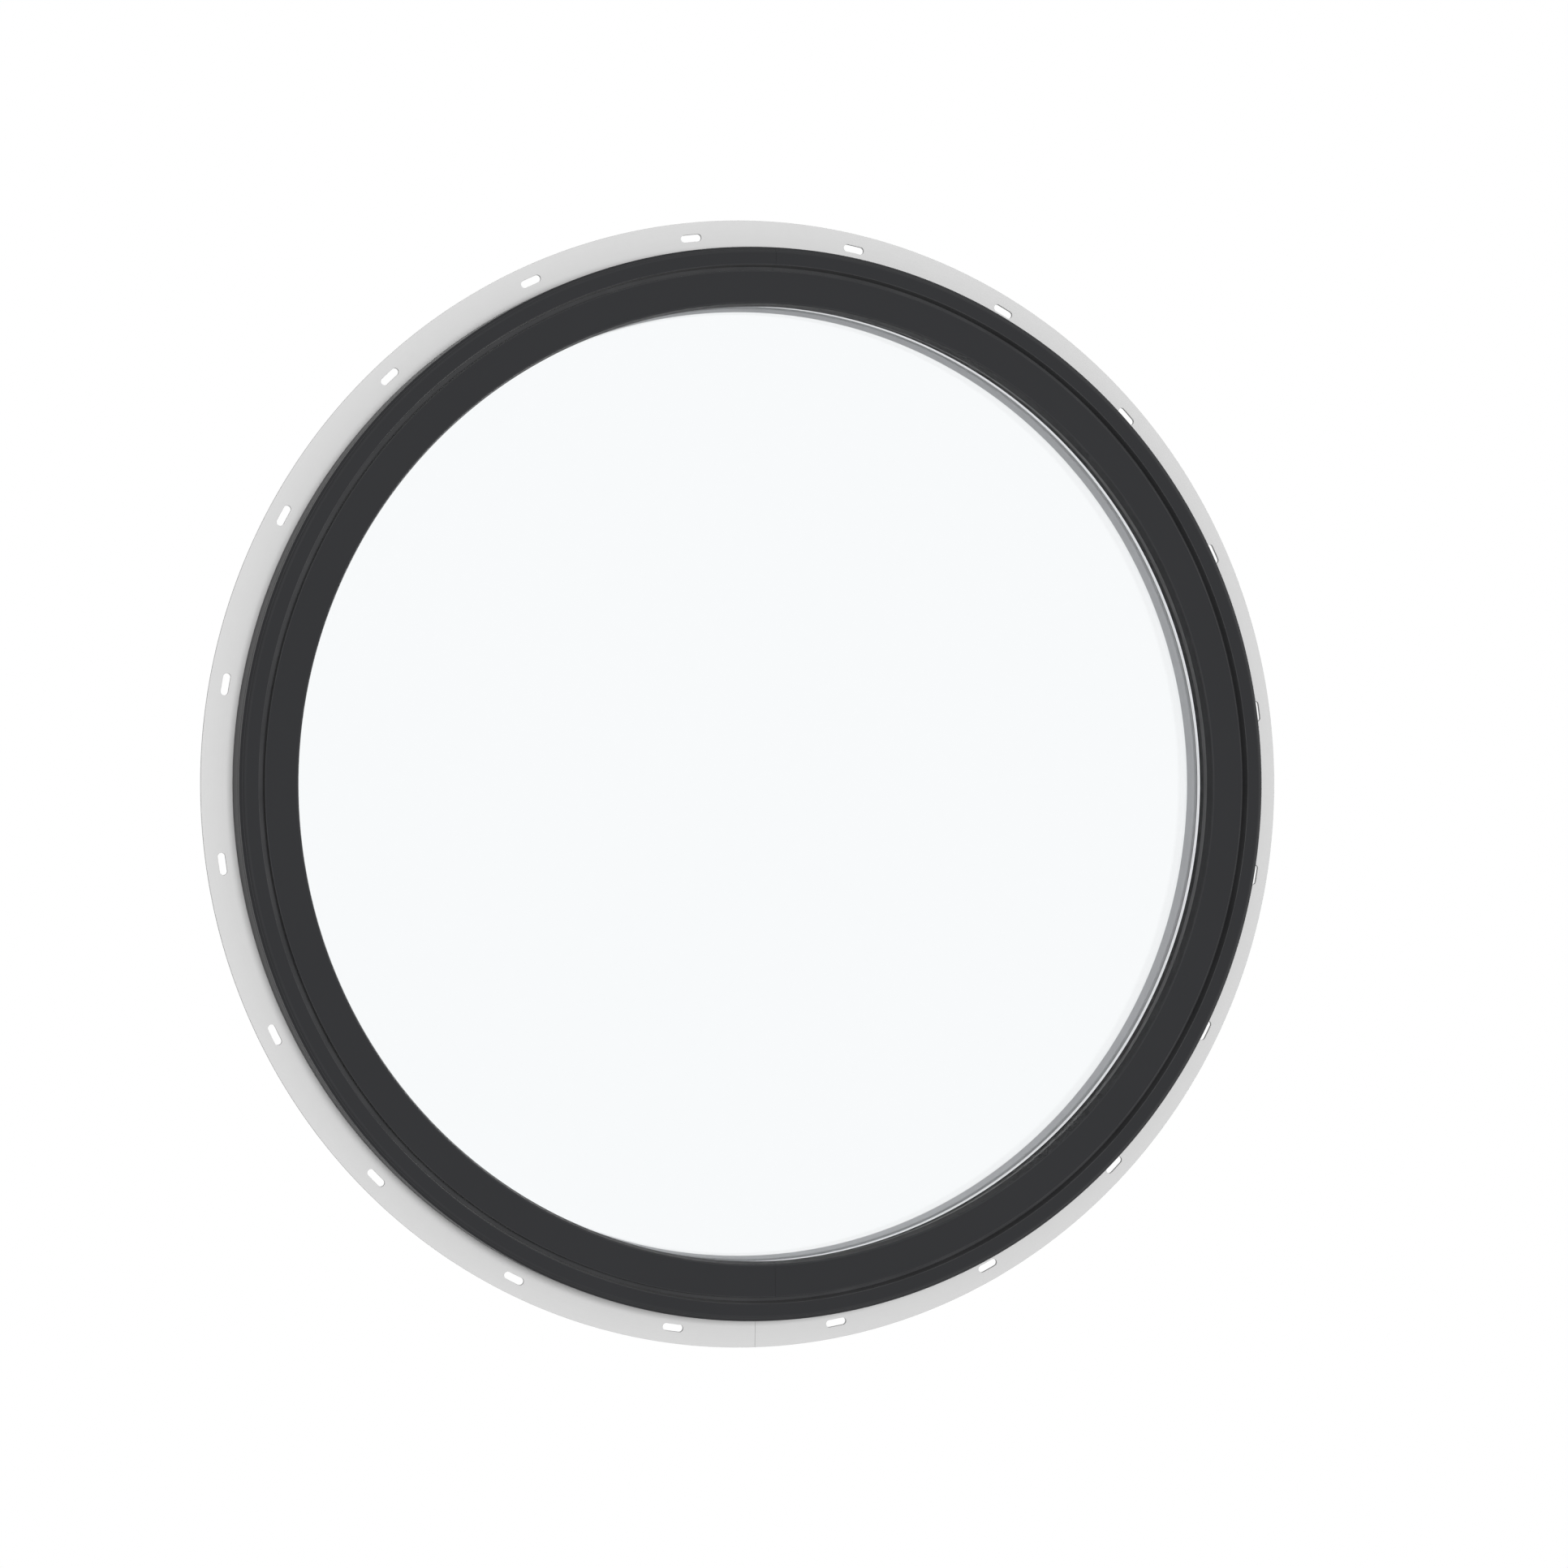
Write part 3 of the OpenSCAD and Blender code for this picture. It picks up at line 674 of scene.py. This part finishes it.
# %% Glazing bead
BEAD_OUT = 451.25
BEAD_FRONT = 35.3
BEAD_W = 28.75


def bead_face(r):
    """Height of the bead's face, which falls by 1 mm over its width."""
    return BEAD_FRONT - (BEAD_OUT - r) / BEAD_W


bead_outline = rounded([
    [BEAD_OUT, 27.5], [BEAD_OUT, BEAD_FRONT, 0.8],
    *arc([424.1, 32.7], 1.6, 90, 180, 8),
    [420.75, 25, 3], [421.8, 20.7, 3], [423.5, 12, 0.3],
    [426.3, 12], [426.3, 13.2], [425.3, 13.2], [425.3, 16.2], [430.3, 16.2], [430.3, 13.2],
    [429.3, 13.2], [429.3, 12], [431.8, 12], [431.8, 17.7], [424.2, 17.7],
    [423.6, 20.7], [422.55, 25], [424.3, bead_face(424.3) - 1.8], [438, bead_face(438) - 1.8],
    [438, 21.5], [438.5, 21.5], [441.4, 24.5], [441.4, 25.5], [439.8, 25.5],
    [439.8, bead_face(439.8) - 1.8], [449.45, 33.5], [449.45, 27.5],
])
make_piece("bead_ring", ring(bead_outline, joint=270), charcoal_coat, "charcoal_coat",
           "glazing_bead")

# %% [markdown]
# ## Gasket, tape and thermal strip
#
# The gasket is a rubber wedge with a dart that pushes into the bead's groove. It is one closed ring.
# The foam tape behind the glass and the outer thermal strip show only as thin lines, the tape
# at the room side's stop and the strip in the gap between the two profiles.

# %% Gasket, tape and strip
gasket_outline = rounded([
    [424, 5, 0.25], [433, 5], [433, 7], [430.3, 12], [429.1, 12], [429.1, 13.4], [429.9, 13.4],
    [428.5, 15.6], [427.1, 15.6], [425.7, 13.4], [426.5, 13.4], [426.5, 12], [423.7, 12, 0.4],
])
make_piece("gasket_ring", ring(gasket_outline), gasket_rubber, "gasket_rubber", "bead_gasket")

tape_outline = rounded([[424.5, -8.8], [434, -8.8], [434, -7.2], [424.5, -7.2]])
make_piece("bedding_tape", ring(tape_outline), foam_tape, "foam_tape", "glazing_tape")

strip_outline = rounded([[469, -15.2], [471, -15.2], [471, -2.8], [469, -2.8]])
make_piece("outer_strip", ring(strip_outline, joint=90), strip_plastic, "strip_plastic",
           "thermal_strip_outer")

# %% [markdown]
# ## The room-side profile
#
# The room-side ring is coated white. Its inner wall is what one sees through the glass, as a
# bright band behind the spacer bar, and from indoors its broad flat face is all that shows.

# %% Room-side ring
room_outline = rounded([
    [473, -23.3, 0.6], [473, -12, 0.2], [471.2, -12], [471.2, -15.4], [468.8, -15.4], [468.8, -12],
    [467, -12], [467, -17.2], [471.2, -17.2], [471.2, -21.5], [423.4, -21.5], [424.8, -10.6],
    [442, -10.6], [442, -17.2], [448, -17.2], [448, -12], [446.2, -12], [446.2, -15.4],
    [443.8, -15.4], [443.8, -8.8], [423, -8.8, 1.5], [421.6, -23.3, 0.8],
])
make_piece("room_profile", ring(room_outline, joint=90), white_coat, "white_coat",
           "interior_frame")

# %% [markdown]
# ## The nailing fin
#
# The fin is a flat vinyl ring, 3 mm thick, whose barbed tongue is pressed into the frame's kerf. Twenty
# slots go through it, every 18 degrees, so that a nail can be driven wherever there is wood
# behind and the frame can still move a little with heat.

# %% Nailing fin
SLOT_R = 486.25
SLOT_COUNT = 20
FIRST_SLOT = 278

rows_out = SLOT_R + 2.75 * np.arange(3, -4, -1)
fin = ring(rounded([
    [500, 0, 0.4], [500, 3, 0.4], *[[r, 3] for r in rows_out], [473.2, 3, 0.2], [473.2, 2.6],
    [469.4, 2.6], [469.4, 3], [468, 2.2], [468, 0.8], [469.4, 0], [469.4, 0.4],
    [473.2, 0.4], [473.2, 0, 0.2], *[[r, 0] for r in rows_out[::-1]],
]), joint=269)
for k in range(SLOT_COUNT):
    punch(fin, FIRST_SLOT + 18 * k, ((rows_out[0], 3), (SLOT_R, 3)), ((rows_out[-1], 0), (SLOT_R, 0)),
          6, 10, 19, 6.4, 0.3)
make_piece("slotted_fin", fin, fin_vinyl, "fin_vinyl", "nail_fin")

# %% [markdown]
# ## The spacer bar
#
# The spacer is a hollow bar bent into a ring. Its sight face is the pale band that shows
# between the panes, and a fine slit along its middle lets the drying beads breathe.

# %% Spacer bar
spacer_outline = rounded([
    [424, -3.9, 0.2], [429.3, -3.9], [430.5, -2.7], [430.5, 0.5], [429.3, 1.7], [424, 1.7, 0.2],
    [424, -0.9], [424.5, -0.9], [424.5, 1.2], [428.8, 1.2], [430, 0], [430, -2.2], [428.8, -3.4],
    [424.5, -3.4], [424.5, -1.3], [424, -1.3],
])
make_piece("spacer_ring", ring(spacer_outline, joint=90), spacer_metal, "spacer_metal",
           "spacer_bar")

# %% [markdown]
# ## Solids that keep their own shape
#
# The panes, the blocks, the keys, the screws and the seals are already right as solids, so they
# stay as they are and only get their finish.

# %% Finishes of the solids that stay
kept = {
    "outer_pane": clear_glass, "inner_pane": clear_glass,
    "thermal_strip_inner": strip_plastic,
    "exterior_joint_key": mill_aluminium, "interior_joint_key": mill_aluminium,
    "spacer_key": mill_aluminium, "joint_key_screws": screw_steel,
    "desiccant": desiccant_beads, "outer_butyl_seal": butyl, "inner_butyl_seal": butyl,
    "edge_seal": edge_sealant,
    "setting_block_left": block_rubber, "setting_block_right": block_rubber,
    "locating_blocks": block_rubber,
}
for node, finish in kept.items():
    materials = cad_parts[node].data.materials
    materials.clear()
    materials.append(finish)
print(len(kept), "solids keep their shape")

# %% [markdown]
# ## Floor, light and camera
#
# The window stands on a plain pale floor in a white studio. The floor and the surround are seen at
# full white, and light things at only 0.55 of it, which leaves most of the light to the panels. A
# broad soft panel in front lights the matt surfaces evenly, and a weak one behind at the left and a
# stronger one behind at the right fill the inner walls. No panel shows in a reflection, so the glass
# and the coats stay free of bright squares.
#
# The camera stands level with the window's middle and some way to its left, with a long lens.

# %% Floor
SHOWN_WHITE = 1.0
LIT_WHITE = 0.55
FLOOR_SIZE = 40
FLOOR_Z = -0.5


def shown_or_lit(tree, shown, lit):
    """Brightness that is shown to the eye directly or through glass, and another that lights things."""
    path = add_node(tree, "LightPath")
    direct = add_node(tree, "Math", {0: path.outputs["Is Camera Ray"],
                                     1: path.outputs["Is Transmission Ray"]},
                      operation="MAXIMUM").outputs[0]
    return scaled(tree, direct, 0, 1, lit, shown)


def pale_floor():
    """A flat pale sheet under the window that glows evenly, as a lit table does."""
    material = new_finish("pale_floor", (0, 0, 0), Roughness=1.0, Specular_IOR_Level=0.0)
    tree = material.node_tree
    shader = tree.nodes["Principled BSDF"]
    shader.inputs["Emission Color"].default_value = (1, 1, 1, 1)
    tree.links.new(shown_or_lit(tree, SHOWN_WHITE, LIT_WHITE), shader.inputs["Emission Strength"])
    return material


floor_mesh = bpy.data.meshes.new("floor")
floor_mesh.from_pydata([[x * FLOOR_SIZE, y * FLOOR_SIZE, FLOOR_Z] for x, y in
                        ((-1, -1), (1, -1), (1, 1), (-1, 1))], [], [[0, 1, 2, 3]])
floor_mesh.materials.append(pale_floor())
floor = bpy.data.objects.new("floor", floor_mesh)
bpy.context.scene.collection.objects.link(floor)
print("floor at", floor_mesh.vertices[0].co.z)

# %% Light
world = bpy.data.worlds.new("studio")
world.use_nodes = True
bpy.context.scene.world = world
tree = world.node_tree
background = tree.nodes["Background"]
background.inputs["Color"].default_value = (1, 1, 1, 1)
tree.links.new(shown_or_lit(tree, SHOWN_WHITE, LIT_WHITE), background.inputs["Strength"])


def soft_panel(name, place, aim, width, height, brightness):
    """A broad light that is never seen itself. Its power is brightness * pi * width * height."""
    data = bpy.data.lights.new(name, "AREA")
    data.shape = "RECTANGLE"
    data.size, data.size_y = width, height
    data.energy = brightness * math.pi * width * height
    light = bpy.data.objects.new(name, data)
    light.location = place
    light.rotation_euler = (Vector(aim) - Vector(place)).to_track_quat("-Z", "Y").to_euler()
    light.visible_camera = False
    light.visible_transmission = False
    light.visible_glossy = False
    bpy.context.scene.collection.objects.link(light)


soft_panel("front_panel", (-0.3, -5.0, 0.1), (0, 0, 0), 1.8, 1.8, 38.0)
soft_panel("side_panel", (-3.5, 2.5, 0.3), (0, 0, 0), 2, 2, 1.5)
soft_panel("back_panel", (0.6, 5.0, 1.5), (0, 0, 0), 1.8, 1.8, 8.0)
bpy.context.scene.view_settings.view_transform = "Standard"

# %% Camera
camera_data = bpy.data.cameras.new("camera")
camera_data.lens = 81.45
camera_data.sensor_width = 36
camera = bpy.data.objects.new("camera", camera_data)
camera.location = (-0.9707, -3.0012, 0)
camera.rotation_euler = (math.radians(90), 0, math.radians(-18.26))
bpy.context.scene.collection.objects.link(camera)
bpy.context.scene.camera = camera
